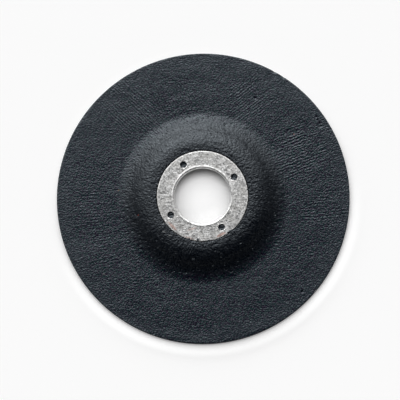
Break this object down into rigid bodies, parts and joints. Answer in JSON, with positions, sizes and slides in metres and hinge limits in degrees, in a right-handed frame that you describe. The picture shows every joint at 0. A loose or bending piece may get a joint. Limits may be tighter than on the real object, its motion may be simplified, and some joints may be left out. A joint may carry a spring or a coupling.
{
  "type": "depressed centre cut-off wheel",
  "caption": "Thin abrasive cut-off wheel with a raised hub pressed into its middle and a flanged steel ring moulded round the bore.",
  "frame": {"origin": "on the bore's axis, in the plane that the rim's working face lies on", "axes": "+Z along the bore's axis, out of the raised side of the hub; the wheel is round, and +X only sets where the ring's small holes are"},
  "size_m": [0.115, 0.115, 0.007],
  "materials": {
    "abrasive": "matte",
    "ring_steel": "satin"
  },
  "bodies": {
    "root": {"abrasive_wheel": "abrasive", "arbor_ring": "ring_steel"}
  },
  "joints": []
}
